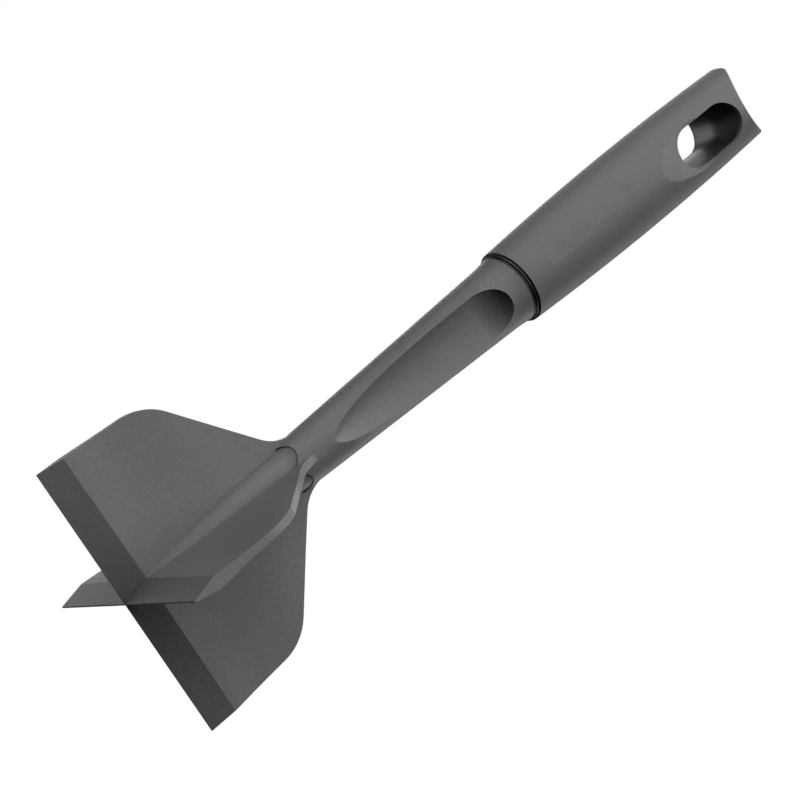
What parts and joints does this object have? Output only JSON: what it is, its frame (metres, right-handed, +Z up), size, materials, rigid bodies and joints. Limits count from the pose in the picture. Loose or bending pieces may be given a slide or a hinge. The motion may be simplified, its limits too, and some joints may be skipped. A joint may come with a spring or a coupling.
{
  "type": "ground-meat chopper",
  "caption": "Four-bladed nylon chopper and scraper with a tapered stem, black joint ring, soft grey grip and a hanging slot.",
  "frame": {"origin": "centre of the crossed cutting edges, on the plane the edges rest on", "axes": "+Z up the stem to the end of the handle, main blade along X, cross blade along Y; the slot runs through along Y"},
  "size_m": [0.092, 0.092, 0.2814],
  "materials": {
    "nylon": "fine matte grain, charcoal grey nylon",
    "ring_black": "matte black",
    "core_black": "smooth black",
    "grip_grey": "fine matte grain, soft to the touch"
  },
  "bodies": {
    "root": {"blade_head": "nylon", "joint_ring": "ring_black", "handle_core": "core_black", "grip_sleeve": "grip_grey"}
  },
  "joints": []
}
